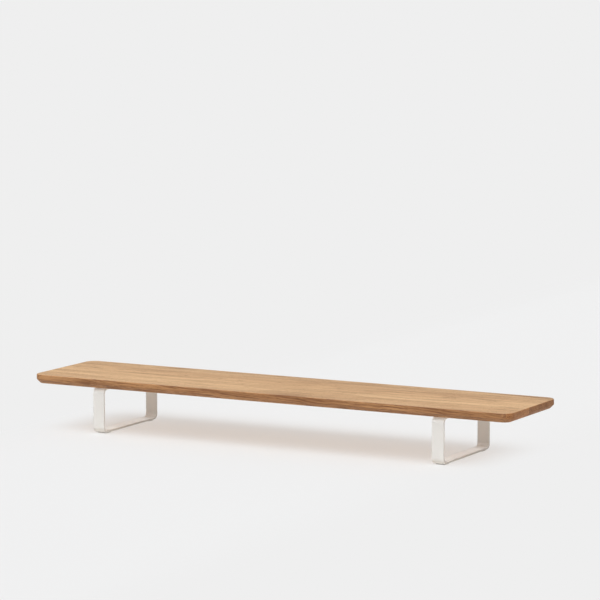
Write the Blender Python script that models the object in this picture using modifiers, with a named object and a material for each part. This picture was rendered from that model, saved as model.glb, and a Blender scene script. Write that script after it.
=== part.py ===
"""Monitor riser stand: a solid oak board on two legs of bent flat steel bar.

Frame: +X along the board, +Y to the back, +Z up. The origin is on the desk, under the
middle of the board. Run with: blender --background --python part.py
"""

import math

import bmesh
import bpy
from mathutils import Matrix, Vector

# Driving dimensions, in metres.
OVERALL_HEIGHT = 0.110

BOARD_LENGTH = 1.050
BOARD_DEPTH = 0.220
BOARD_THICKNESS = 0.018
BOARD_CORNER_RADIUS = 0.022
BOARD_TOP_ROUND = 0.0018
BOARD_UNDER_CHAMFER = 0.0075

BAR_WIDTH = 0.025
BAR_THICKNESS = 0.004
BAR_EDGE_ROUND = 0.0005
BEND_RADIUS = 0.012
LEG_DEPTH = 0.206
LEG_SPACING = 0.748
FLANGE_REACH = 0.062

SCREW_FIRST = 0.022
SCREW_PITCH = 0.030
SCREW_RADIUS = 0.003
SCREW_LENGTH = 0.012
SCREW_HOLE_RADIUS = 0.0033
SCREW_TIP_CHAMFER = 0.0006
HEAD_RADIUS = 0.00525
HEAD_HEIGHT = 0.0033
HEAD_RIM = 0.0006
HEAD_CROWN_RADIUS = 0.0030
SOCKET_ACROSS_FLATS = 0.004
SOCKET_DEPTH = 0.0021

INSERT_RADIUS = 0.005
INSERT_BORE_RADIUS = 0.0033
INSERT_LENGTH = 0.012
INSERT_HOLE_DEPTH = 0.013

PAD_WIDTH = 0.021
PAD_LENGTH = 0.018
PAD_THICKNESS = 0.0012
PAD_CORNER_RADIUS = 0.003
PAD_FROM_BEND = 0.0005

# Clearance left between two pieces that touch.
TOUCH_GAP = 0.0003

# How finely the round shapes are cut.
CORNER_SEGMENTS = 10
TOP_ROUND_SEGMENTS = 3
BEND_SEGMENTS = 8
HOLE_SIDES = 24
TURN_STEPS = 24
DOME_SEGMENTS = 4
PAD_CORNER_SEGMENTS = 4

# Heights that follow from the dimensions above.
BOARD_BOTTOM = OVERALL_HEIGHT - BOARD_THICKNESS
LEG_BOTTOM = PAD_THICKNESS + TOUCH_GAP
LEG_TOP = BOARD_BOTTOM - TOUCH_GAP
FLANGE_BOTTOM = LEG_TOP - BAR_THICKNESS
HEAD_SEAT = FLANGE_BOTTOM - TOUCH_GAP

SMOOTH_ANGLE = math.radians(35)
OVERCUT = 0.002

COLLECTION_NAME = "monitor_riser_stand"
CUTTER_COLLECTION_NAME = "cutters"

SIDES = (("left", -1), ("right", 1))
ENDS = (("front", -1), ("back", 1))
SCREW_PLACES = (("outer", SCREW_FIRST), ("inner", SCREW_FIRST + SCREW_PITCH))


# ---------------------------------------------------------------- scene and materials

def clear_scene():
    for old in list(bpy.data.objects):
        bpy.data.objects.remove(old, do_unlink=True)


def new_collection(name):
    collection = bpy.data.collections.new(name)
    bpy.context.scene.collection.children.link(collection)
    return collection


def new_material(name, color, roughness, metallic):
    material = bpy.data.materials.new(name)
    material.use_nodes = True
    shader = material.node_tree.nodes["Principled BSDF"]
    shader.inputs["Base Color"].default_value = (*color, 1.0)
    shader.inputs["Roughness"].default_value = roughness
    shader.inputs["Metallic"].default_value = metallic
    material.diffuse_color = (*color, 1.0)
    return material


def new_object(name, mesh, collection, material=None):
    made = bpy.data.objects.new(name, mesh)
    collection.objects.link(made)
    if material is not None and not mesh.materials:
        mesh.materials.append(material)
    return made


def new_cutter(name, mesh, collection):
    cutter = new_object(name, mesh, collection)
    cutter.hide_render = True
    cutter.display_type = "WIRE"
    return cutter


def cut(target, cutter):
    boolean = target.modifiers.new("cut_" + cutter.name, "BOOLEAN")
    boolean.operation = "DIFFERENCE"
    boolean.solver = "EXACT"
    boolean.object = cutter


def mesh_from(bm, name):
    mesh = bpy.data.meshes.new(name)
    bm.to_mesh(mesh)
    bm.free()
    return mesh


def smooth(mesh):
    mesh.shade_smooth()
    mesh.set_sharp_from_angle(angle=SMOOTH_ANGLE)


def freeze(source, name):
    """The evaluated mesh of an object, for copies that share it. The source is removed."""
    graph = bpy.context.evaluated_depsgraph_get()
    mesh = bpy.data.meshes.new_from_object(source.evaluated_get(graph), depsgraph=graph)
    mesh.name = name
    smooth(mesh)
    bpy.data.objects.remove(source, do_unlink=True)
    return mesh


# ---------------------------------------------------------------- where things go

def leg_x(side):
    return side * LEG_SPACING / 2


def screw_positions():
    """Name and axis (x, y) of each of the eight screws."""
    places = []
    for side_name, side in SIDES:
        for end_name, end in ENDS:
            for place_name, inset in SCREW_PLACES:
                name = f"{side_name}_{end_name}_{place_name}"
                places.append((name, leg_x(side), end * (LEG_DEPTH / 2 - inset)))
    return places


# ---------------------------------------------------------------- shared shapes

def drill_mesh(name, axes, radius, bottom, top):
    """One cutter mesh with an upright cylinder on each (x, y) axis."""
    bm = bmesh.new()
    for x, y in axes:
        place = Matrix.Translation((x, y, (bottom + top) / 2))
        bmesh.ops.create_cone(
            bm, cap_ends=True, segments=HOLE_SIDES, radius1=radius, radius2=radius,
            depth=top - bottom, matrix=place)
    return mesh_from(bm, name)


def is_upright(edge):
    first, second = edge.verts
    return (first.co - second.co).xy.length < 1e-6


def rounded_slab(length, depth, bottom, top, radius, segments):
    """A flat slab centred on the Z axis, with its four upright edges rounded."""
    bm = bmesh.new()
    size = Matrix.Diagonal((length, depth, top - bottom, 1.0))
    centre = Matrix.Translation((0, 0, (bottom + top) / 2))
    bmesh.ops.create_cube(bm, size=1.0, matrix=centre @ size)
    bmesh.ops.bevel(
        bm, geom=[edge for edge in bm.edges if is_upright(edge)], affect="EDGES",
        offset_type="OFFSET", offset=radius, segments=segments, profile=0.5)
    return bm


def turned_object(name, profile, collection, material, closed=False):
    """Turn an (r, z) profile, listed top to bottom on its outer side, about Z."""
    bm = bmesh.new()
    points = [bm.verts.new((r, 0.0, z)) for r, z in profile]
    for first, second in zip(points, points[1:]):
        bm.edges.new((first, second))
    if closed:
        bm.edges.new((points[-1], points[0]))
    made = new_object(name, mesh_from(bm, name), collection, material)
    turn = made.modifiers.new("turn", "SCREW")
    turn.axis = "Z"
    turn.steps = TURN_STEPS
    turn.render_steps = TURN_STEPS
    turn.use_merge_vertices = True
    turn.merge_threshold = 0.00001
    turn.use_smooth_shade = True
    return made


# ---------------------------------------------------------------- board

def rim_edges(bm, height):
    """The edges round the rim of the flat face at the given height."""
    rim = []
    for edge in bm.edges:
        level = all(abs(vert.co.z - height) < 1e-6 for vert in edge.verts)
        folded = abs(edge.calc_face_angle(0.0)) > math.radians(45)
        if level and folded:
            rim.append(edge)
    return rim


def board_mesh():
    bm = rounded_slab(
        BOARD_LENGTH, BOARD_DEPTH, BOARD_BOTTOM, OVERALL_HEIGHT,
        BOARD_CORNER_RADIUS, CORNER_SEGMENTS)
    bmesh.ops.bevel(
        bm, geom=rim_edges(bm, BOARD_BOTTOM), affect="EDGES",
        offset_type="OFFSET", offset=BOARD_UNDER_CHAMFER, segments=1, profile=0.5)
    bmesh.ops.bevel(
        bm, geom=rim_edges(bm, OVERALL_HEIGHT), affect="EDGES",
        offset_type="OFFSET", offset=BOARD_TOP_ROUND, segments=TOP_ROUND_SEGMENTS, profile=0.5)
    return mesh_from(bm, "board")


def make_board(parts, cutters, oak):
    """Edge-glued oak board, rounded above, chamfered below, with blind insert holes."""
    board = new_object("board", board_mesh(), parts, oak)
    axes = [(x, y) for _, x, y in screw_positions()]
    holes = drill_mesh(
        "insert_holes", axes, INSERT_RADIUS + TOUCH_GAP,
        BOARD_BOTTOM - OVERCUT, BOARD_BOTTOM + INSERT_HOLE_DEPTH)
    cut(board, new_cutter("insert_holes", holes, cutters))
    smooth(board.data)
    return board


# ---------------------------------------------------------------- legs

def bend_points(centre, start_angle):
    """Points of a quarter turn of the bar's outer face, anticlockwise seen from +X."""
    points = []
    for step in range(BEND_SEGMENTS + 1):
        angle = start_angle + math.pi / 2 * step / BEND_SEGMENTS
        offset = Vector((0.0, math.cos(angle), math.sin(angle))) * BEND_RADIUS
        points.append(centre + offset)
    return points


def leg_outline():
    """The bar's outer face seen from the side, as points in the plane X = 0.

    It runs from the front flange's free end forward, down, back along the desk, up, and
    forward again to the back flange's free end.
    """
    half = LEG_DEPTH / 2
    near = half - BEND_RADIUS
    low = LEG_BOTTOM + BEND_RADIUS
    high = LEG_TOP - BEND_RADIUS
    outline = [Vector((0.0, -half + FLANGE_REACH, LEG_TOP))]
    outline += bend_points(Vector((0.0, -near, high)), math.pi / 2)
    outline += bend_points(Vector((0.0, -near, low)), math.pi)
    outline += bend_points(Vector((0.0, near, low)), -math.pi / 2)
    outline += bend_points(Vector((0.0, near, high)), 0.0)
    outline.append(Vector((0.0, half - FLANGE_REACH, LEG_TOP)))
    return outline


def leg_mesh():
    """The bar's outer face as an open strip, as wide as the bar."""
    bm = bmesh.new()
    verts = [bm.verts.new(point) for point in leg_outline()]
    edges = [bm.edges.new(pair) for pair in zip(verts, verts[1:])]
    bmesh.ops.translate(bm, verts=verts, vec=(-BAR_WIDTH / 2, 0.0, 0.0))
    swept = bmesh.ops.extrude_edge_only(bm, edges=edges)
    moved = [item for item in swept["geom"] if isinstance(item, bmesh.types.BMVert)]
    bmesh.ops.translate(bm, verts=moved, vec=(BAR_WIDTH, 0.0, 0.0))
    bmesh.ops.recalc_face_normals(bm, faces=bm.faces)
    return mesh_from(bm, "leg")


def make_leg(side_name, side, parts, cutters, coated_steel):
    """One flat bar, bent four times into a flat-bottomed C with two screw flanges."""
    leg = new_object("leg_" + side_name, leg_mesh(), parts, coated_steel)
    leg.location.x = leg_x(side)
    thicken = leg.modifiers.new("bar_thickness", "SOLIDIFY")
    thicken.thickness = BAR_THICKNESS
    thicken.offset = -1.0
    thicken.use_even_offset = True
    edge_round = leg.modifiers.new("bar_edges", "BEVEL")
    edge_round.width = BAR_EDGE_ROUND
    edge_round.segments = 1
    edge_round.limit_method = "ANGLE"
    edge_round.angle_limit = math.radians(60)
    axes = [(x, y) for _, x, y in screw_positions() if x * side > 0]
    holes = drill_mesh(
        "screw_holes_" + side_name, axes, SCREW_HOLE_RADIUS,
        FLANGE_BOTTOM - OVERCUT, LEG_TOP + OVERCUT)
    cut(leg, new_cutter("screw_holes_" + side_name, holes, cutters))
    smooth(leg.data)
    return leg


# ---------------------------------------------------------------- fasteners

def screw_profile():
    """Shank above, button head below, from the tip down to the flat of the head."""
    profile = [
        (0.0, SCREW_LENGTH),
        (SCREW_RADIUS - SCREW_TIP_CHAMFER, SCREW_LENGTH),
        (SCREW_RADIUS, SCREW_LENGTH - SCREW_TIP_CHAMFER),
        (SCREW_RADIUS, 0.0),
        (HEAD_RADIUS, 0.0),
    ]
    for step in range(DOME_SEGMENTS + 1):
        angle = math.pi / 2 * step / DOME_SEGMENTS
        radius = HEAD_CROWN_RADIUS + (HEAD_RADIUS - HEAD_CROWN_RADIUS) * math.cos(angle)
        depth = HEAD_RIM + (HEAD_HEIGHT - HEAD_RIM) * math.sin(angle)
        profile.append((radius, -depth))
    profile.append((0.0, -HEAD_HEIGHT))
    return profile


def screw_mesh(parts, cutters, zinc_steel):
    """Button-head screw with a hexagon socket; its head seats on the plane Z = 0."""
    screw = turned_object("screw_blank", screw_profile(), parts, zinc_steel)
    corner_radius = SOCKET_ACROSS_FLATS / math.sqrt(3)
    bm = bmesh.new()
    place = Matrix.Translation((0, 0, -HEAD_HEIGHT + (SOCKET_DEPTH - OVERCUT) / 2))
    bmesh.ops.create_cone(
        bm, cap_ends=True, segments=6, radius1=corner_radius, radius2=corner_radius,
        depth=SOCKET_DEPTH + OVERCUT, matrix=place)
    cutter = new_cutter("screw_socket", mesh_from(bm, "screw_socket"), cutters)
    cut(screw, cutter)
    return freeze(screw, "screw")


def insert_mesh(parts, zinc_steel):
    """Threaded insert as a plain sleeve, its open lower end on the plane Z = 0."""
    profile = [
        (INSERT_BORE_RADIUS, INSERT_LENGTH),
        (INSERT_RADIUS, INSERT_LENGTH),
        (INSERT_RADIUS, 0.0),
        (INSERT_BORE_RADIUS, 0.0),
    ]
    sleeve = turned_object("insert_blank", profile, parts, zinc_steel, closed=True)
    return freeze(sleeve, "insert")


def make_fasteners(parts, cutters, zinc_steel):
    screw = screw_mesh(parts, cutters, zinc_steel)
    insert = insert_mesh(parts, zinc_steel)
    for name, x, y in screw_positions():
        new_object("screw_" + name, screw, parts).location = (x, y, HEAD_SEAT)
        new_object("insert_" + name, insert, parts).location = (x, y, BOARD_BOTTOM + TOUCH_GAP)


# ---------------------------------------------------------------- foot pads

def make_foot_pads(parts, rubber):
    """A thin flat pad under each end of each leg's desk run, next to the bend."""
    slab = rounded_slab(
        PAD_WIDTH, PAD_LENGTH, 0.0, PAD_THICKNESS, PAD_CORNER_RADIUS, PAD_CORNER_SEGMENTS)
    pad = mesh_from(slab, "foot_pad")
    smooth(pad)
    pad_y = LEG_DEPTH / 2 - BEND_RADIUS - PAD_FROM_BEND - PAD_LENGTH / 2
    for side_name, side in SIDES:
        for end_name, end in ENDS:
            name = f"foot_pad_{side_name}_{end_name}"
            new_object(name, pad, parts, rubber).location = (leg_x(side), end * pad_y, 0.0)


# ---------------------------------------------------------------- assembly

def build():
    clear_scene()
    parts = new_collection(COLLECTION_NAME)
    cutters = new_collection(CUTTER_COLLECTION_NAME)
    oak = new_material("oak", (0.60, 0.38, 0.21), 0.5, 0.0)
    coated_steel = new_material("white_powder_coat", (0.80, 0.79, 0.76), 0.55, 0.0)
    zinc_steel = new_material("zinc_plated_steel", (0.62, 0.62, 0.60), 0.35, 1.0)
    rubber = new_material("grey_rubber", (0.18, 0.18, 0.18), 0.8, 0.0)

    make_board(parts, cutters, oak)
    for side_name, side in SIDES:
        make_leg(side_name, side, parts, cutters, coated_steel)
    make_fasteners(parts, cutters, zinc_steel)
    make_foot_pads(parts, rubber)


build()
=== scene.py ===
"""Looks of the monitor riser stand: an oak board on two bent flat-bar legs."""

import math

import bmesh
import bpy
from mathutils import Matrix, Vector


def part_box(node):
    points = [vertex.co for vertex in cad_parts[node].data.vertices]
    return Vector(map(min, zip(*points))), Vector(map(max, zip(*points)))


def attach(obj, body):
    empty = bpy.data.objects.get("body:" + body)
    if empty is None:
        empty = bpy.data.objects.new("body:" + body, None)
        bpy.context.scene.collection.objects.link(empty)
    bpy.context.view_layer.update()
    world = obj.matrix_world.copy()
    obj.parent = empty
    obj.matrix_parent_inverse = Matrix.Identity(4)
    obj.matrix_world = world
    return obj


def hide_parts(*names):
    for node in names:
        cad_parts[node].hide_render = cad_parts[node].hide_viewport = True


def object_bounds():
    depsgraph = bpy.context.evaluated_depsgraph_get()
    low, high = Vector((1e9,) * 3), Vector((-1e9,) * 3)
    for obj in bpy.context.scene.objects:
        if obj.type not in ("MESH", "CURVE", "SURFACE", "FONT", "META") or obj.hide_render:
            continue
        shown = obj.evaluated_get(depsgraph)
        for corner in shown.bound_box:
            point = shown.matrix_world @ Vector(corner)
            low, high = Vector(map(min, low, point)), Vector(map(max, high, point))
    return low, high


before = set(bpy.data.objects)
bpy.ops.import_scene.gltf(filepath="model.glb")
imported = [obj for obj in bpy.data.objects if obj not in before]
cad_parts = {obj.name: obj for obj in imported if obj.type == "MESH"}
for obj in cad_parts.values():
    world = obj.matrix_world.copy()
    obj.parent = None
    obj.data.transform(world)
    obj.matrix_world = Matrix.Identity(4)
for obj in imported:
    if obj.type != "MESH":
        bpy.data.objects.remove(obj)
CAD_LOW, CAD_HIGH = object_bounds()

MM = 0.001

# ---------------------------------------------------------------- camera and studio

CAMERA_AZIMUTH = math.radians(28.33)
CAMERA_ELEVATION = math.radians(7.22)
CAMERA_DISTANCE = 6.107
CAMERA_LENS = 188.2
CAMERA_SENSOR_WIDTH = 36.0
CAMERA_CLIP_END = 200.0
LOOK_AT = Vector((0.0252, 0.0, 0.2807))

# The floor's colour where light bounces off it onto the object.
FLOOR_HALF_SIZE = 60.0
FLOOR_COLOR = (0.730, 0.690, 0.640)
# What the camera sees of it: a darker colour and a glow of its own, which lifts the shadow.
FLOOR_SHOWN_COLOR = (0.371, 0.419, 0.452)
FLOOR_SHOWN_GLOW = (0.418, 0.360, 0.321)
# The tone of the floor without a shadow, and how far out along X the shadow fades into it.
FLOOR_OPEN_TONE = 0.863
SHADOW_FADE = (0.35, 0.53)
SHADOW_FADE_SHIFT = 0.03

# A large softbox overhead, tilted to the front, in a room that is brighter at the back.
SOFTBOX_TILT = math.radians(25.7)
SOFTBOX_EDGE = (0.78, 1.03)
SOFTBOX_STRENGTH = 3.60
ROOM_FRONT = 0.150
ROOM_BACK = 0.374
ROOM_BLEND = 0.6

# A fill that casts no shadows: the direction it comes from, and how strong it is.
FILL_FROM = Vector((0.00, -0.26, 1.00))
FILL_STRENGTH = 1.256
FILL_SPREAD = math.radians(60)
FILL_DISTANCE = 3.0

# A narrow light under the board above each desk run, which lights the legs alone.
RUN_FILL_HEIGHT = 78 * MM
RUN_FILL_SIZE = (30 * MM, 155 * MM)
RUN_FILL_SPREAD = math.radians(28)
RUN_FILL_POWER = 0.0046

# ---------------------------------------------------------------- oak

# The colour of each stave's faces and edges beside the others, from front to back.
STAVE_TONES = (
    (0.965, 0.960, 0.965),
    (1.040, 1.060, 1.080),
    (1.020, 1.030, 1.040),
    (0.960, 0.955, 0.955),
    (0.910, 0.915, 0.930),
)
# The colour of each stave's end grain beside the others, from front to back.
END_TONES = (
    (1.06, 1.06, 1.06),
    (1.12, 1.12, 1.12),
    (0.80, 0.76, 0.70),
    (0.82, 0.78, 0.72),
    (1.00, 1.00, 1.00),
)
OAK_LIGHT = (0.715, 0.455, 0.235)
OAK_MID = (0.565, 0.335, 0.162)
OAK_DARK = (0.300, 0.150, 0.062)
OAK_PORE = (0.130, 0.058, 0.024)
OAK_RAY = (0.700, 0.460, 0.240)
# How much darker and warmer the faces that are not level are than the top: partly oil that the
# edges drink, partly painted shade.
OAK_EDGE_OIL_AND_SHADE = (0.76, 0.62, 0.50)
OAK_END_OIL = (1.00, 0.91, 0.80)
OAK_RING_WIDTH = 3.2 * MM
OAK_GRAIN_SLOPE = 0.045
OAK_TOP_HEIGHT = 110 * MM

# The glue line's soft edge: gone at the first distance from the joint, full at the second.
GLUE_LINE = (0.28 * MM, 0.08 * MM)
STAVE_MARGIN = 0.001
RIM_MARGIN = 0.1

# Each stave's pith: the most it lies to one side, its least depth below the board's top and
# the most added to that, and its least slope along the board and the most added to that.
PITH_ASIDE = 28 * MM
PITH_DEPTH = (22 * MM, 35 * MM)
PITH_SLOPE = (0.012, 0.050)
# Slow noise moves the pith sideways and up, with these scales along X and from stave to stave.
PITH_DRIFT_Y = 16 * MM
PITH_DRIFT_Z = 30 * MM
PITH_DRIFT_SCALES = (2.4, 7.7)
# Waves bend the rings, with these scales along and across the grain. Both are in rings, as is
# the most that one stave's rings are offset from the next one's.
RING_WAVE = 0.8
RING_WAVE_SCALES = (5.0, 60.0)
RING_OFFSET = 9.0

# The grain bends sideways and up by these distances, and the noise shifts at each stave.
GRAIN_BEND_Y = 8 * MM
GRAIN_BEND_Z = 14 * MM
GRAIN_BEND_SCALE = 7.0
GRAIN_SHIFT = 3.17
# Noise drawn out along the grain: scale along and across it, detail and roughness.
FIBRE_NOISE = (16.0, 1100.0, 3.0, 0.60)
STREAK_NOISE = (5.0, 120.0, 3.0, 0.55)
VEIN_NOISE = (9.0, 560.0, 3.0, 0.60)
BAND_NOISE = (2.6, 40.0, 3.0, 0.50)
PORE_NOISE = (95.0, 1500.0, 1.0, 0.40)
# The ray flecks' scales along the grain, round the pith and outwards from it.
RAY_SCALES = (60.0, 170.0, 90.0)

# How strongly each part of the figure shows in the colour.
STREAK_DARKNESS = 0.62
STREAK_LESS_ON_EDGES = 0.35
EARLY_WOOD_DARKNESS = 0.24
FIBRE_DARKNESS = 0.20
VEIN_DARKNESS = 0.90
BAND_LIGHTNESS = 0.85
RING_LIGHTNESS = 0.22
RAY_SHOWS = 0.30
PORE_SHOWS = 0.60
GLUE_SHOWS = 0.45

# ---------------------------------------------------------------- sizes of the pieces

BOARD_CORNER_RADIUS = 22 * MM
BOARD_CORNER_SEGMENTS = 28
BOARD_TOP_ROUND = 1.8 * MM
BOARD_UNDER_CHAMFER = 7.5 * MM
BOARD_ARRIS_ROUND = 0.5 * MM

BAR_THICKNESS = 4 * MM
BAR_EDGE_ROUND = 0.7 * MM
BEND_RADIUS = 12 * MM
BEND_SEGMENTS = 24
FLANGE_REACH = 62 * MM
FLANGE_CORNER_RADIUS = 3 * MM

PAD_CORNER_RADIUS = 3 * MM
PAD_EDGE_ROUND = 0.25 * MM

SCREW_HOLE_RADIUS = 3.3 * MM
INSERT_HOLE_RADIUS = 5.3 * MM
INSERT_HOLE_DEPTH = 13 * MM
HOLE_FLARE = 0.3 * MM
HOLE_SEGMENTS = 48
CUTTER_REACH = 2 * MM

SCREW_HEAD_RADIUS = 5.25 * MM
SCREW_HEAD_HEIGHT = 3.3 * MM
SCREW_HEAD_RIM = 0.6 * MM
SCREW_HEAD_EDGE = 0.15 * MM
SCREW_CROWN_RADIUS = 3.0 * MM
SCREW_CROWN_STEPS = 12
SCREW_THREAD_RADIUS = 3.0 * MM
SCREW_THREAD_DEPTH = 0.55 * MM
SCREW_THREAD_PITCH = 1.0 * MM
SCREW_THREAD_START = 0.05 * MM
SCREW_THREAD_TAPER = 0.8 * MM
SCREW_LENGTH = 12 * MM
SCREW_TIP = 0.7 * MM
SCREW_TIP_NARROWING = 0.5 * MM
SOCKET_ACROSS_FLATS = 4.0 * MM
SOCKET_DEPTH = 2.1 * MM
SOCKET_LEAD_IN = 0.35 * MM
SOCKET_POINT_RADIUS = 0.2 * MM
SOCKET_POINT_DEPTH = 0.6 * MM
SOCKET_CUTTER_REACH = 1 * MM

INSERT_RADIUS = 5.0 * MM
INSERT_BORE_RADIUS = 3.3 * MM
INSERT_BORE_FLARE = 0.3 * MM
INSERT_LENGTH = 12 * MM
INSERT_THREAD_PITCH = 2.5 * MM
INSERT_THREAD_DEPTH = 0.9 * MM
INSERT_THREAD_MARGIN = 0.1 * MM
INSERT_THREAD_TAPER = 1.2 * MM

FASTENER_SEGMENTS = 48
THREAD_STEPS_PER_TURN = 10
THREAD_CREST = 1.25

SIDES = ("left", "right")
ENDS = ("front", "back")
PLACES = ("outer", "inner")
SCREW_KEYS = [f"{side}_{end}_{place}" for side in SIDES for end in ENDS for place in PLACES]

SMOOTH_ANGLE = math.radians(40)
FOLD_ANGLE = 0.5
SAME_PLACE = 1e-6
MERGE_DISTANCE = 1e-7


# ---------------------------------------------------------------- shader helpers

class Graph:
    """A material's node tree, with short calls to add and link nodes."""

    def __init__(self, name):
        self.material = bpy.data.materials.new(name)
        self.material.use_nodes = True
        self.tree = self.material.node_tree
        self.shader = self.tree.nodes["Principled BSDF"]
        self.output = self.tree.nodes["Material Output"]

    def add(self, kind, inputs=None, **settings):
        node = self.tree.nodes.new(kind)
        for key, value in settings.items():
            setattr(node, key, value)
        for key, value in (inputs or {}).items():
            self.feed(node.inputs[key], value)
        return node

    def feed(self, socket, value):
        if isinstance(value, bpy.types.NodeSocket):
            self.tree.links.new(value, socket)
        elif value is not None:
            socket.default_value = value

    def math(self, operation, first, second=None, third=None, clamp=False):
        node = self.add("ShaderNodeMath", operation=operation, use_clamp=clamp)
        for socket, value in zip(node.inputs, (first, second, third)):
            self.feed(socket, value)
        return node.outputs[0]

    def combine(self, x, y, z):
        return self.add("ShaderNodeCombineXYZ", {"X": x, "Y": y, "Z": z}).outputs[0]

    def separate(self, vector):
        return self.add("ShaderNodeSeparateXYZ", {"Vector": vector}).outputs

    def position(self):
        return self.add("ShaderNodeTexCoord").outputs["Object"]

    def noise(self, vector, scale, detail=3.0, roughness=0.5):
        values = {"Vector": vector, "Scale": scale, "Detail": detail, "Roughness": roughness}
        return self.add("ShaderNodeTexNoise", values).outputs["Fac"]

    def white(self, number):
        """A fixed random value for a number, so each offset to it is a draw of its own."""
        node = self.add("ShaderNodeTexWhiteNoise", noise_dimensions="1D")
        self.feed(node.inputs["W"], number)
        return node.outputs["Value"]

    def remap(self, value, low, high):
        """Goes smoothly from 0 where the value is low to 1 where it is high; low may be greater."""
        values = {"Value": value, "From Min": low, "From Max": high}
        node = self.add("ShaderNodeMapRange", values, interpolation_type="SMOOTHSTEP")
        return node.outputs["Result"]

    def blend(self, factor, first, second, mode="MIX"):
        node = self.add("ShaderNodeMix", data_type="RGBA", blend_type=mode)
        self.feed(node.inputs[0], factor)
        self.feed(node.inputs[6], first)
        self.feed(node.inputs[7], second)
        return node.outputs[2]

    def ramp(self, factor, stops, interpolation="LINEAR"):
        """A colour ramp through (position, linear colour) stops."""
        node = self.add("ShaderNodeValToRGB", {"Fac": factor})
        node.color_ramp.interpolation = interpolation
        elements = node.color_ramp.elements
        while len(elements) < len(stops):
            elements.new(0.5)
        for element, (place, color) in zip(elements, stops):
            element.position = place
            element.color = (*color, 1.0)
        return node.outputs["Color"]

    def bump(self, height, distance, strength):
        values = {"Height": height, "Distance": distance, "Strength": strength}
        return self.add("ShaderNodeBump", values).outputs["Normal"]

    def mix_shaders(self, factor, first, second):
        node = self.add("ShaderNodeMixShader")
        self.feed(node.inputs[0], factor)
        self.feed(node.inputs[1], first)
        self.feed(node.inputs[2], second)
        return node.outputs[0]


# ---------------------------------------------------------------- materials

def oak_staves(g, y, front_edge, width):
    """Stave number, place across the stave, its tones, and where the glue lines are."""
    count = len(STAVE_TONES)
    across = g.math("DIVIDE", g.math("SUBTRACT", y, front_edge), width)
    across = g.math("MINIMUM", g.math("MAXIMUM", across, STAVE_MARGIN), count - STAVE_MARGIN)
    stave = g.math("FLOOR", across)
    inside = g.math("SUBTRACT", g.math("FRACT", across), 0.5)
    to_joint = g.math("MULTIPLY", g.math("SUBTRACT", 0.5, g.math("ABSOLUTE", inside)), width)
    from_middle = g.math("ABSOLUTE", g.math("SUBTRACT", across, count / 2))
    not_rim = g.math("LESS_THAN", from_middle, count / 2 - RIM_MARGIN)
    joint = g.math("MULTIPLY", g.remap(to_joint, *GLUE_LINE), not_rim)
    place = g.math("DIVIDE", g.math("ADD", stave, 0.5), count)
    face_tone = g.ramp(place, [(k / count, tone) for k, tone in enumerate(STAVE_TONES)], "CONSTANT")
    end_tone = g.ramp(place, [(k / count, tone) for k, tone in enumerate(END_TONES)], "CONSTANT")
    return stave, g.math("MULTIPLY", inside, width), joint, face_tone, end_tone


def oak_rings(g, x, y, z, stave, inside):
    """Growth ring count about the stave's own pith, which runs along X below the board."""
    aside_draw = g.white(g.math("ADD", stave, 0.5))
    depth_draw = g.white(g.math("ADD", stave, 11.8))
    slope_draw = g.white(g.math("ADD", stave, 23.1))
    pith_y = g.math("MULTIPLY_ADD", aside_draw, 2 * PITH_ASIDE, -PITH_ASIDE)
    depth = g.math("MULTIPLY_ADD", depth_draw, PITH_DEPTH[1], PITH_DEPTH[0])
    slope = g.math("MULTIPLY_ADD", slope_draw, PITH_SLOPE[1], PITH_SLOPE[0])
    slow_place = g.combine(
        g.math("MULTIPLY", x, PITH_DRIFT_SCALES[0]),
        g.math("MULTIPLY", stave, PITH_DRIFT_SCALES[1]),
        0.0)
    slow = g.math("SUBTRACT", g.noise(slow_place, 1.0, 2.0, 0.4), 0.5)
    from_y = g.math("MULTIPLY_ADD", slow, PITH_DRIFT_Y, g.math("SUBTRACT", inside, pith_y))
    from_z = g.math("ADD", g.math("SUBTRACT", z, OAK_TOP_HEIGHT), depth)
    from_z = g.math("MULTIPLY_ADD", x, slope, from_z)
    from_z = g.math("MULTIPLY_ADD", slow, PITH_DRIFT_Z, from_z)
    squares = g.math("MULTIPLY_ADD", from_z, from_z, g.math("MULTIPLY", from_y, from_y))
    radius = g.math("SQRT", squares)
    angle = g.math("ARCTAN2", from_z, from_y)
    wave_place = g.combine(
        g.math("MULTIPLY", x, RING_WAVE_SCALES[0]),
        g.math("MULTIPLY", y, RING_WAVE_SCALES[1]),
        g.math("MULTIPLY", z, RING_WAVE_SCALES[1]))
    wave = g.noise(wave_place, 1.0, 2.0, 0.4)
    rings = g.math("MULTIPLY_ADD", wave, RING_WAVE, g.math("DIVIDE", radius, OAK_RING_WIDTH))
    rings = g.math("MULTIPLY_ADD", g.white(stave), RING_OFFSET, rings)
    return rings, radius, angle


def oak_streaks(g, x, y, z, stave):
    """Noise drawn out along the grain: fibres, dark streaks, veins, broad bands and pores."""
    shift = g.math("MULTIPLY", stave, GRAIN_SHIFT)
    bend_place = g.combine(g.math("MULTIPLY", x, GRAIN_BEND_SCALE), shift, 0.0)
    bend = g.math("SUBTRACT", g.noise(bend_place, 1.0, 2.0, 0.5), 0.5)
    sloped = g.math("MULTIPLY_ADD", x, OAK_GRAIN_SLOPE, z)
    along_y = g.math("ADD", g.math("MULTIPLY_ADD", bend, GRAIN_BEND_Y, y), shift)
    along_z = g.math("MULTIPLY_ADD", bend, GRAIN_BEND_Z, sloped)

    def drawn_out(lengthwise, across, detail, roughness):
        place = g.combine(
            g.math("MULTIPLY", x, lengthwise), g.math("MULTIPLY", along_y, across),
            g.math("MULTIPLY", along_z, across))
        return g.noise(place, 1.0, detail, roughness)

    fibre = drawn_out(*FIBRE_NOISE)
    streak = drawn_out(*STREAK_NOISE)
    vein = drawn_out(*VEIN_NOISE)
    band = drawn_out(*BAND_NOISE)
    pore = drawn_out(*PORE_NOISE)
    return fibre, streak, vein, band, pore


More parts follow.
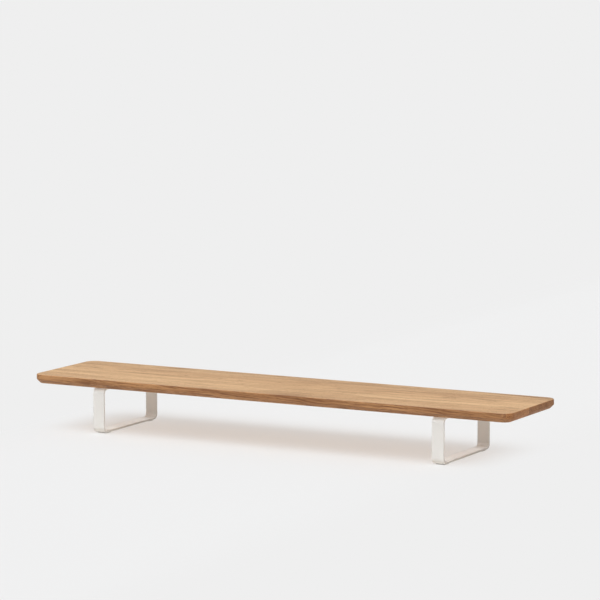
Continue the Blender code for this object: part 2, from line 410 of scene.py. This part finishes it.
def oak_material(front_edge, width):
    """Edge-glued oak as a solid texture, so that faces, edges and ends agree."""
    g = Graph("oiled_oak")
    x, y, z = g.separate(g.position())
    stave, inside, joint, face_tone, end_tone = oak_staves(g, y, front_edge, width)
    rings, radius, angle = oak_rings(g, x, y, z, stave, inside)
    fibre, streak, vein, band, pore_noise = oak_streaks(g, x, y, z, stave)
    normal = g.separate(g.add("ShaderNodeNewGeometry").outputs["Normal"])
    edge = g.remap(g.math("ABSOLUTE", normal[2]), 0.96, 0.80)
    end = g.remap(g.math("ABSOLUTE", normal[0]), 0.45, 0.70)

    # Early wood is the open-pored, darker start of each ring.
    ring = g.math("FRACT", rings)
    ring_tone = g.white(g.math("ADD", g.math("FLOOR", rings), 0.25))
    early = g.math("MULTIPLY", g.remap(ring, 0.0, 0.10), g.remap(ring, 0.50, 0.15))
    darkness = g.math("MULTIPLY", g.remap(streak, 0.47, 0.72), STREAK_DARKNESS)
    off_edges = g.math("MULTIPLY_ADD", edge, -STREAK_LESS_ON_EDGES, 1.0)
    darkness = g.math("MULTIPLY", darkness, off_edges)
    darkness = g.math("MULTIPLY_ADD", early, EARLY_WOOD_DARKNESS, darkness)
    darkness = g.math("MULTIPLY_ADD", g.remap(fibre, 0.45, 0.80), FIBRE_DARKNESS, darkness)
    veins = g.math("MULTIPLY", g.remap(vein, 0.43, 0.63), edge)
    darkness = g.math("MULTIPLY_ADD", veins, VEIN_DARKNESS, darkness, clamp=True)
    lightness = g.math("MULTIPLY", g.remap(band, 0.38, 0.64), BAND_LIGHTNESS)
    lightness = g.math("MULTIPLY_ADD", ring_tone, RING_LIGHTNESS, lightness, clamp=True)
    color = g.blend(lightness, (*OAK_MID, 1.0), (*OAK_LIGHT, 1.0))
    color = g.blend(darkness, color, (*OAK_DARK, 1.0))
    color = g.blend(1.0, color, face_tone, "MULTIPLY")

    # Pores, and the pale flecks of the rays, which point away from the pith.
    pore_limit = g.math("MULTIPLY_ADD", early, -0.12, 0.67)
    pore = g.remap(g.math("SUBTRACT", pore_noise, pore_limit), 0.0, 0.07)
    ray_place = g.combine(
        g.math("MULTIPLY", x, RAY_SCALES[0]),
        g.math("MULTIPLY", angle, RAY_SCALES[1]),
        g.math("MULTIPLY", radius, RAY_SCALES[2]))
    ray = g.remap(g.noise(ray_place, 1.0, 1.0, 0.4), 0.64, 0.74)
    color = g.blend(g.math("MULTIPLY", ray, RAY_SHOWS), color, (*OAK_RAY, 1.0))
    color = g.blend(g.math("MULTIPLY", pore, PORE_SHOWS), color, (*OAK_PORE, 1.0))
    color = g.blend(g.math("MULTIPLY", joint, GLUE_SHOWS), color, (*OAK_PORE, 1.0))

    # Edges and end grain drink more oil than the faces, so they are darker and warmer. Part of this
    # darkening, on every face that is not level, is painted shade that stands in for the sides
    # taking less light than the top.
    color = g.blend(edge, color, g.blend(1.0, color, (*OAK_EDGE_OIL_AND_SHADE, 1.0), "MULTIPLY"))
    end_color = g.blend(1.0, color, (*OAK_END_OIL, 1.0), "MULTIPLY")
    end_color = g.blend(1.0, end_color, end_tone, "MULTIPLY")
    color = g.blend(end, color, end_color)

    roughness = g.math("MULTIPLY_ADD", fibre, 0.14, 0.38)
    roughness = g.math("MULTIPLY_ADD", pore, 0.20, roughness)
    roughness = g.math("MULTIPLY_ADD", end, 0.14, roughness)
    relief = g.math("MULTIPLY_ADD", fibre, 0.30, g.math("MULTIPLY", early, -0.15))
    relief = g.math("SUBTRACT", relief, pore)
    relief = g.math("MULTIPLY_ADD", joint, -0.6, relief)
    g.feed(g.shader.inputs["Base Color"], color)
    g.feed(g.shader.inputs["Roughness"], roughness)
    g.feed(g.shader.inputs["Normal"], g.bump(relief, 0.09 * MM, 0.9))
    return g.material


def powder_coat_material():
    """White powder coat: faint orange peel, a fine grit and a slightly uneven tone."""
    g = Graph("white_powder_coat")
    place = g.position()
    cloud = g.noise(place, 22.0, 3.0)
    peel = g.noise(place, 420.0, 2.0, 0.5)
    grit = g.noise(place, 2600.0, 2.0, 0.6)
    color = g.ramp(cloud, [
        (0.30, (0.825, 0.825, 0.813)),
        (0.55, (0.853, 0.853, 0.841)),
        (0.75, (0.837, 0.837, 0.825)),
    ])
    speck = g.remap(g.noise(place, 900.0, 1.0), 0.70, 0.80)
    color = g.blend(g.math("MULTIPLY", speck, 0.25), color, (0.60, 0.58, 0.55, 1.0))
    height = g.math("MULTIPLY_ADD", grit, 0.35, peel)
    g.feed(g.shader.inputs["Base Color"], color)
    g.feed(g.shader.inputs["Roughness"], g.math("MULTIPLY_ADD", grit, 0.18, 0.40))
    g.feed(g.shader.inputs["Normal"], g.bump(height, 0.06 * MM, 0.6))
    return g.material


def zinc_material(name, light, dark, grain_scale):
    """Zinc plating over steel, with a crystalline mottle and fine handling scratches."""
    g = Graph(name)
    place = g.position()
    mottle = g.noise(place, grain_scale, 3.0, 0.6)
    x, y, z = g.separate(place)
    scratch_place = g.combine(g.math("MULTIPLY", x, 400.0), g.math("MULTIPLY", y, 5200.0), z)
    scratch = g.remap(g.noise(scratch_place, 1.0, 2.0), 0.60, 0.78)
    color = g.ramp(mottle, [(0.30, dark), (0.62, light)])
    color = g.blend(g.math("MULTIPLY", scratch, 0.30), color, (0.82, 0.82, 0.80, 1.0))
    g.feed(g.shader.inputs["Base Color"], color)
    g.shader.inputs["Metallic"].default_value = 1.0
    g.feed(g.shader.inputs["Roughness"], g.math("MULTIPLY_ADD", mottle, 0.25, 0.22))
    height = g.math("MULTIPLY_ADD", scratch, -0.5, mottle)
    g.feed(g.shader.inputs["Normal"], g.bump(height, 0.03 * MM, 0.5))
    return g.material


def rubber_material():
    """Pale rubber with a fine moulded grain and a little dirt."""
    g = Graph("pale_rubber")
    place = g.position()
    grain = g.noise(place, 2400.0, 3.0, 0.6)
    dirt = g.remap(g.noise(place, 160.0, 4.0, 0.65), 0.50, 0.80)
    color = g.ramp(grain, [(0.25, (0.500, 0.500, 0.490)), (0.75, (0.590, 0.589, 0.575))])
    color = g.blend(g.math("MULTIPLY", dirt, 0.40), color, (0.40, 0.385, 0.355, 1.0))
    g.feed(g.shader.inputs["Base Color"], color)
    g.feed(g.shader.inputs["Roughness"], g.math("MULTIPLY_ADD", grain, 0.15, 0.72))
    g.feed(g.shader.inputs["Normal"], g.bump(grain, 0.08 * MM, 0.7))
    return g.material


def floor_material():
    """Pale floor. It lights the object by its plain colour; the camera sees its shadow lifted.

    The shadow it shows also fades out towards the two ends of the object, as in the photo.
    From below it is clear, so that the object's underside can be seen.
    """
    g = Graph("studio_floor")
    is_camera_ray = g.add("ShaderNodeLightPath").outputs["Is Camera Ray"]
    is_underside = g.add("ShaderNodeNewGeometry").outputs["Backfacing"]
    plain = g.add("ShaderNodeBsdfDiffuse", {"Color": (*FLOOR_COLOR, 1.0)})
    shown = g.add("ShaderNodeBsdfDiffuse", {"Color": (*FLOOR_SHOWN_COLOR, 1.0)})
    glow = g.add("ShaderNodeEmission", {"Color": (*FLOOR_SHOWN_GLOW, 1.0), "Strength": 1.0})
    lifted = g.add("ShaderNodeAddShader")
    g.feed(lifted.inputs[0], shown.outputs[0])
    g.feed(lifted.inputs[1], glow.outputs[0])
    open_color = (FLOOR_OPEN_TONE, FLOOR_OPEN_TONE, FLOOR_OPEN_TONE, 1.0)
    unshaded = g.add("ShaderNodeEmission", {"Color": open_color, "Strength": 1.0})
    clear = g.add("ShaderNodeBsdfTransparent")
    x = g.separate(g.position())[0]
    from_middle = g.math("ABSOLUTE", g.math("ADD", x, SHADOW_FADE_SHIFT))
    fading = g.remap(from_middle, *SHADOW_FADE)
    faded = g.mix_shaders(fading, lifted.outputs[0], unshaded.outputs[0])
    top = g.mix_shaders(is_camera_ray, plain.outputs[0], faded)
    both = g.mix_shaders(is_underside, top, clear.outputs[0])
    g.feed(g.output.inputs["Surface"], both)
    return g.material


# ---------------------------------------------------------------- mesh helpers

def add_object(name, data):
    made = bpy.data.objects.new(name, data)
    bpy.context.scene.collection.objects.link(made)
    return made


def new_piece(name, mesh, material):
    """A shown piece of the object: it rides on the root body and carries its material."""
    piece = add_object(name, mesh)
    if not mesh.materials:
        mesh.materials.append(material)
    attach(piece, "root")
    return piece


def mesh_from(bm, name):
    mesh = bpy.data.meshes.new(name)
    bm.to_mesh(mesh)
    bm.free()
    return mesh


def finish_shading(mesh):
    mesh.shade_smooth()
    mesh.set_sharp_from_angle(angle=SMOOTH_ANGLE)


def baked(source, name):
    """The evaluated mesh of an object; the object itself is removed."""
    graph = bpy.context.evaluated_depsgraph_get()
    mesh = bpy.data.meshes.new_from_object(source.evaluated_get(graph), depsgraph=graph)
    mesh.name = name
    bpy.data.objects.remove(source, do_unlink=True)
    return mesh


def ring_loft(rings, close_ends=True):
    """A closed mesh from rings of points, all with the same count, joined in order."""
    bm = bmesh.new()
    made = [[bm.verts.new(point) for point in ring] for ring in rings]
    count = len(made[0])
    for lower, upper in zip(made, made[1:]):
        for k in range(count):
            following = (k + 1) % count
            bm.faces.new((lower[k], lower[following], upper[following], upper[k]))
    if close_ends:
        bm.faces.new(list(reversed(made[0])))
        bm.faces.new(made[-1])
    bmesh.ops.recalc_face_normals(bm, faces=bm.faces)
    return bm


def circle(radius, height, count):
    angles = [2 * math.pi * k / count for k in range(count)]
    return [Vector((radius * math.cos(a), radius * math.sin(a), height)) for a in angles]


def turned(profile, count):
    """A closed turned solid from (radius, height) points, bottom to top."""
    return ring_loft([circle(radius, height, count) for radius, height in profile])


def flared_drill(radius, bottom, top, flare):
    """A hole cutter from bottom to top whose two mouths open out by flare."""
    mouth_radius = radius + flare + CUTTER_REACH
    return [
        (mouth_radius, bottom - CUTTER_REACH),
        (radius, bottom + flare),
        (radius, top - flare),
        (mouth_radius, top + CUTTER_REACH),
    ]


def cut_away(piece, cutter_bm):
    """The mesh of a piece less a cutter; both objects are removed."""
    cutter = add_object("cutter", mesh_from(cutter_bm, "cutter"))
    boolean = piece.modifiers.new("cut", "BOOLEAN")
    boolean.operation = "DIFFERENCE"
    boolean.solver = "EXACT"
    boolean.object = cutter
    mesh = baked(piece, piece.name)
    bpy.data.objects.remove(cutter, do_unlink=True)
    return mesh


def cut_holes(piece, profile, centres):
    """Cuts the same turned hole at each centre and returns the finished mesh."""
    bm = bmesh.new()
    for centre in centres:
        single = turned(profile, HOLE_SEGMENTS)
        bmesh.ops.translate(single, verts=single.verts, vec=centre)
        part = mesh_from(single, "hole")
        bm.from_mesh(part)
        bpy.data.meshes.remove(part)
    return cut_away(piece, bm)


def weighted_normals(piece):
    """Keeps large flat faces flat beside their rounded edges."""
    weighting = piece.modifiers.new("flat_faces", "WEIGHTED_NORMAL")
    weighting.mode = "FACE_AREA"
    weighting.keep_sharp = True


def box_centre(node):
    low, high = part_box(node)
    return (low + high) / 2


def hole_centres(keys):
    """Where the screws with these keys stand, as points at height 0."""
    centres = [box_centre("screw_" + key) for key in keys]
    return [Vector((centre.x, centre.y, 0.0)) for centre in centres]


def is_upright(edge):
    first, second = edge.verts
    return (first.co - second.co).xy.length < SAME_PLACE


def edges_at(bm, height):
    """The folded edges that lie level at a height."""
    def lies_level(edge):
        return all(abs(vert.co.z - height) < SAME_PLACE for vert in edge.verts)
    level = [edge for edge in bm.edges if lies_level(edge)]
    return [edge for edge in level if edge.calc_face_angle(0.0) > FOLD_ANGLE]


def bevel(bm, edges, offset, segments):
    bmesh.ops.bevel(bm, geom=edges, affect="EDGES", offset_type="OFFSET",
                    offset=offset, segments=segments, profile=0.5)


def block_with_round_corners(centre, size, radius, segments):
    """A box whose four upright edges are rounded."""
    bm = bmesh.new()
    place = Matrix.Translation(centre) @ Matrix.Diagonal((*size, 1.0))
    bmesh.ops.create_cube(bm, size=1.0, matrix=place)
    uprights = [edge for edge in bm.edges if is_upright(edge)]
    bevel(bm, uprights, radius, segments)
    return bm


# ---------------------------------------------------------------- board

def board_mesh():
    low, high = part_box("board")
    bm = block_with_round_corners(
        (low + high) / 2, high - low, BOARD_CORNER_RADIUS, BOARD_CORNER_SEGMENTS)
    bevel(bm, edges_at(bm, low.z), BOARD_UNDER_CHAMFER, 1)
    arrises = edges_at(bm, low.z) + edges_at(bm, low.z + BOARD_UNDER_CHAMFER)
    bevel(bm, arrises, BOARD_ARRIS_ROUND, 3)
    bevel(bm, edges_at(bm, high.z), BOARD_TOP_ROUND, 6)
    return mesh_from(bm, "board")


def make_board():
    low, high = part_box("board")
    material = oak_material(low.y, (high.y - low.y) / len(STAVE_TONES))
    blank = add_object("oak_board", board_mesh())
    mouth = 3 * MM
    profile = [
        (INSERT_HOLE_RADIUS + mouth, low.z - mouth),
        (INSERT_HOLE_RADIUS, low.z),
        (INSERT_HOLE_RADIUS, low.z + INSERT_HOLE_DEPTH),
    ]
    mesh = cut_holes(blank, profile, hole_centres(SCREW_KEYS))
    finish_shading(mesh)
    board = new_piece("oak_board", mesh, material)
    weighted_normals(board)
    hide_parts("board")


# ---------------------------------------------------------------- legs

def leg_outline(low, high):
    """The bar's outer face in the YZ plane, from the front flange's end to the back's."""
    def bend(centre_y, centre_z, start):
        points = []
        for k in range(BEND_SEGMENTS + 1):
            angle = start + math.pi / 2 * k / BEND_SEGMENTS
            across = BEND_RADIUS * math.cos(angle)
            up = BEND_RADIUS * math.sin(angle)
            points.append((centre_y + across, centre_z + up))
        return points

    front, back = low.y + BEND_RADIUS, high.y - BEND_RADIUS
    bottom, top = low.z + BEND_RADIUS, high.z - BEND_RADIUS
    outline = [(low.y + FLANGE_REACH, high.z)]
    outline += bend(front, top, math.pi / 2)
    outline += bend(front, bottom, math.pi)
    outline += bend(back, bottom, -math.pi / 2)
    outline += bend(back, top, 0.0)
    outline.append((high.y - FLANGE_REACH, high.z))
    return outline


def bar_mesh(low, high):
    """The bent bar's outer face as an open strip with rounded free corners."""
    bm = bmesh.new()
    outline = leg_outline(low, high)
    near = [bm.verts.new((low.x, y, z)) for y, z in outline]
    far = [bm.verts.new((high.x, y, z)) for y, z in outline]
    for k in range(len(outline) - 1):
        bm.faces.new((near[k], near[k + 1], far[k + 1], far[k]))
    corners = [near[0], near[-1], far[0], far[-1]]
    bmesh.ops.bevel(bm, geom=corners, affect="VERTICES", offset_type="OFFSET",
                    offset=FLANGE_CORNER_RADIUS, segments=6, profile=0.5)
    return mesh_from(bm, "bar")


def make_leg(side, material):
    low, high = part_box("leg_" + side)
    bar = add_object(f"leg_bar_{side}", bar_mesh(low, high))
    thicken = bar.modifiers.new("thickness", "SOLIDIFY")
    thicken.thickness = BAR_THICKNESS
    thicken.offset = -1.0
    thicken.use_even_offset = True
    soften = bar.modifiers.new("edges", "BEVEL")
    soften.width = BAR_EDGE_ROUND
    soften.segments = 4
    soften.limit_method = "ANGLE"
    soften.angle_limit = math.radians(60)
    centres = hole_centres([key for key in SCREW_KEYS if key.startswith(side)])
    profile = flared_drill(SCREW_HOLE_RADIUS, high.z - BAR_THICKNESS, high.z, HOLE_FLARE)
    mesh = cut_holes(bar, profile, centres)
    finish_shading(mesh)
    leg = new_piece(f"leg_bar_{side}", mesh, material)
    weighted_normals(leg)
    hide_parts("leg_" + side)
    return leg


# ---------------------------------------------------------------- screws and inserts

def thread_rings(radius, depth, pitch, length, start, count, taper):
    """Rings of a helical thread that fades into a plain core near both ends."""
    steps = int(round(length / pitch * THREAD_STEPS_PER_TURN))
    rings = []
    for step in range(steps + 1):
        height = length * step / steps
        fade = min(1.0, height / taper, (length - height) / taper)
        ring = []
        for k in range(count):
            turn = height / pitch - k / count
            tooth = 1.0 - abs(2.0 * (turn % 1.0) - 1.0)
            crest = radius - depth * (1.0 - min(1.0, THREAD_CREST * tooth) * fade)
            angle = 2 * math.pi * k / count
            ring.append(Vector((crest * math.cos(angle), crest * math.sin(angle), start + height)))
        rings.append(ring)
    return rings


def socket_cutter():
    """The hexagon socket, its mouth open below the screw's head and its end pointed."""
    top = -SCREW_HEAD_HEIGHT
    radius = SOCKET_ACROSS_FLATS / math.sqrt(3)
    floor = top + SOCKET_DEPTH
    mouth = SOCKET_LEAD_IN + SOCKET_CUTTER_REACH
    return ring_loft([
        circle(radius + mouth, top - SOCKET_CUTTER_REACH, 6),
        circle(radius, top + SOCKET_LEAD_IN, 6),
        circle(radius, floor, 6),
        circle(SOCKET_POINT_RADIUS, floor + SOCKET_POINT_DEPTH, 6),
    ])


def screw_mesh():
    """Button-head M6 screw, its head's seat on Z = 0 and its thread above."""
    count = FASTENER_SEGMENTS
    crown = SCREW_HEAD_HEIGHT - SCREW_HEAD_RIM
    rings = []
    for step in range(SCREW_CROWN_STEPS + 1):
        angle = math.pi / 2 * (1 - step / SCREW_CROWN_STEPS)
        radius = SCREW_CROWN_RADIUS + (SCREW_HEAD_RADIUS - SCREW_CROWN_RADIUS) * math.cos(angle)
        rings.append(circle(radius, -SCREW_HEAD_RIM - crown * math.sin(angle), count))
    rings.append(circle(SCREW_HEAD_RADIUS, -SCREW_HEAD_EDGE, count))
    rings.append(circle(SCREW_HEAD_RADIUS - SCREW_HEAD_EDGE, 0.0, count))
    root = SCREW_THREAD_RADIUS - SCREW_THREAD_DEPTH
    rings.append(circle(root, 0.0, count))
    rings += thread_rings(SCREW_THREAD_RADIUS, SCREW_THREAD_DEPTH, SCREW_THREAD_PITCH,
                          SCREW_LENGTH - SCREW_TIP, SCREW_THREAD_START, count, SCREW_THREAD_TAPER)
    rings.append(circle(root - SCREW_TIP_NARROWING, SCREW_LENGTH, count))
    blank = add_object("screw", mesh_from(ring_loft(rings), "screw"))
    mesh = cut_away(blank, socket_cutter())
    finish_shading(mesh)
    return mesh


def insert_mesh():
    """Threaded insert: a coarse wood thread outside and a plain bore, open on Z = 0."""
    count = FASTENER_SEGMENTS
    core = INSERT_RADIUS - INSERT_THREAD_DEPTH
    flared_bore = INSERT_BORE_RADIUS + INSERT_BORE_FLARE
    rings = [circle(core, 0.0, count)]
    rings += thread_rings(INSERT_RADIUS, INSERT_THREAD_DEPTH, INSERT_THREAD_PITCH,
                          INSERT_LENGTH - 2 * INSERT_THREAD_MARGIN, INSERT_THREAD_MARGIN, count,
                          INSERT_THREAD_TAPER)
    rings.append(circle(core, INSERT_LENGTH, count))
    rings.append(circle(flared_bore, INSERT_LENGTH, count))
    rings.append(circle(INSERT_BORE_RADIUS, INSERT_LENGTH - INSERT_BORE_FLARE, count))
    rings.append(circle(INSERT_BORE_RADIUS, INSERT_BORE_FLARE, count))
    rings.append(circle(flared_bore, 0.0, count))
    rings.append(rings[0])
    bm = ring_loft(rings, close_ends=False)
    bmesh.ops.remove_doubles(bm, verts=bm.verts, dist=MERGE_DISTANCE)
    bmesh.ops.recalc_face_normals(bm, faces=bm.faces)
    mesh = mesh_from(bm, "insert")
    finish_shading(mesh)
    return mesh


def make_fasteners():
    screw_steel = zinc_material("bright_zinc", (0.66, 0.66, 0.655), (0.52, 0.52, 0.52), 700.0)
    insert_steel = zinc_material("yellow_zinc", (0.68, 0.62, 0.44), (0.55, 0.49, 0.33), 500.0)
    screw = screw_mesh()
    insert = insert_mesh()
    for key in SCREW_KEYS:
        low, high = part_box("screw_" + key)
        axis = (low + high) / 2
        piece = new_piece("button_screw_" + key, screw, screw_steel)
        piece.location = (axis.x, axis.y, low.z + SCREW_HEAD_HEIGHT)
        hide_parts("screw_" + key)
        low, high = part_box("insert_" + key)
        piece = new_piece("threaded_insert_" + key, insert, insert_steel)
        piece.location = (axis.x, axis.y, low.z)
        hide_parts("insert_" + key)


# ---------------------------------------------------------------- foot pads

def pad_mesh(size):
    """A thin pad with round corners, its edges softened, standing on Z = 0."""
    bm = block_with_round_corners((0, 0, size.z / 2), size, PAD_CORNER_RADIUS, 10)
    rims = edges_at(bm, 0.0) + edges_at(bm, size.z)
    bevel(bm, rims, PAD_EDGE_ROUND, 3)
    mesh = mesh_from(bm, "foot_pad")
    finish_shading(mesh)
    return mesh


def make_foot_pads():
    material = rubber_material()
    low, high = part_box("foot_pad_left_front")
    mesh = pad_mesh(high - low)
    for side in SIDES:
        for end in ENDS:
            node = f"foot_pad_{side}_{end}"
            low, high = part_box(node)
            pad = new_piece(f"rubber_pad_{side}_{end}", mesh, material)
            pad.location = ((low.x + high.x) / 2, (low.y + high.y) / 2, low.z)
            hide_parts(node)


# ---------------------------------------------------------------- stage

def make_camera():
    data = bpy.data.cameras.new("camera")
    data.lens = CAMERA_LENS
    data.sensor_width = CAMERA_SENSOR_WIDTH
    data.clip_end = CAMERA_CLIP_END
    camera = add_object("camera", data)
    back = Vector((
        math.sin(CAMERA_AZIMUTH) * math.cos(CAMERA_ELEVATION),
        -math.cos(CAMERA_AZIMUTH) * math.cos(CAMERA_ELEVATION),
        math.sin(CAMERA_ELEVATION)))
    camera.location = LOOK_AT + back * CAMERA_DISTANCE
    camera.rotation_euler = (-back).to_track_quat("-Z", "Y").to_euler()
    bpy.context.scene.camera = camera


def make_floor():
    bm = bmesh.new()
    bmesh.ops.create_grid(bm, x_segments=1, y_segments=1, size=FLOOR_HALF_SIZE)
    mesh = mesh_from(bm, "studio_floor")
    mesh.materials.append(floor_material())
    floor = add_object("studio_floor", mesh)
    floor.location.z = CAD_LOW.z


def make_dome():
    """One dome of light: a soft-edged patch overhead and a room brighter at the back."""
    scene = bpy.context.scene
    scene.view_settings.view_transform = "Standard"
    world = bpy.data.worlds.new("studio")
    scene.world = world
    world.use_nodes = True
    tree = world.node_tree
    direction = tree.nodes.new("ShaderNodeTexCoord").outputs["Generated"]
    facing = tree.nodes.new("ShaderNodeVectorMath")
    facing.operation = "DOT_PRODUCT"
    facing.inputs[1].default_value = (0.0, -math.sin(SOFTBOX_TILT), math.cos(SOFTBOX_TILT))
    tree.links.new(direction, facing.inputs[0])
    softbox = tree.nodes.new("ShaderNodeMapRange")
    softbox.interpolation_type = "SMOOTHSTEP"
    softbox.inputs["From Min"].default_value = SOFTBOX_EDGE[0]
    softbox.inputs["From Max"].default_value = SOFTBOX_EDGE[1]
    softbox.inputs["To Max"].default_value = SOFTBOX_STRENGTH
    tree.links.new(facing.outputs["Value"], softbox.inputs["Value"])
    split = tree.nodes.new("ShaderNodeSeparateXYZ")
    tree.links.new(direction, split.inputs[0])
    room = tree.nodes.new("ShaderNodeMapRange")
    room.interpolation_type = "SMOOTHSTEP"
    room.inputs["From Min"].default_value = -ROOM_BLEND
    room.inputs["From Max"].default_value = ROOM_BLEND
    room.inputs["To Min"].default_value = ROOM_FRONT
    room.inputs["To Max"].default_value = ROOM_BACK
    tree.links.new(split.outputs["Y"], room.inputs["Value"])
    total = tree.nodes.new("ShaderNodeMath")
    tree.links.new(softbox.outputs["Result"], total.inputs[0])
    tree.links.new(room.outputs["Result"], total.inputs[1])
    tree.links.new(total.outputs[0], tree.nodes["Background"].inputs["Strength"])
    tree.nodes["Background"].inputs["Color"].default_value = (1.0, 1.0, 1.0, 1.0)


def make_fill():
    """A wide sun that lifts the whole scene and casts no shadow."""
    data = bpy.data.lights.new("soft_fill", "SUN")
    data.energy = FILL_STRENGTH
    data.angle = FILL_SPREAD
    data.use_shadow = False
    fill = add_object("soft_fill", data)
    fill.location = FILL_FROM * FILL_DISTANCE
    fill.rotation_euler = (-FILL_FROM).to_track_quat("-Z", "Y").to_euler()


def make_run_fills(legs):
    """A light facing down onto each desk run; nothing but the legs receives it."""
    receivers = bpy.data.collections.new("run_fill_receivers")
    for leg in legs:
        receivers.objects.link(leg)
    for side in SIDES:
        data = bpy.data.lights.new("run_fill_" + side, "AREA")
        data.shape = "RECTANGLE"
        data.size, data.size_y = RUN_FILL_SIZE
        data.spread = RUN_FILL_SPREAD
        data.energy = RUN_FILL_POWER
        data.use_shadow = False
        fill = add_object("run_fill_" + side, data)
        fill.location = (box_centre("leg_" + side).x, 0.0, RUN_FILL_HEIGHT)
        fill.visible_camera = False
        fill.light_linking.receiver_collection = receivers


# ---------------------------------------------------------------- assembly

make_camera()
make_dome()
make_fill()
make_floor()
make_board()
coat = powder_coat_material()
make_run_fills([make_leg(side_name, coat) for side_name in SIDES])
make_fasteners()
make_foot_pads()
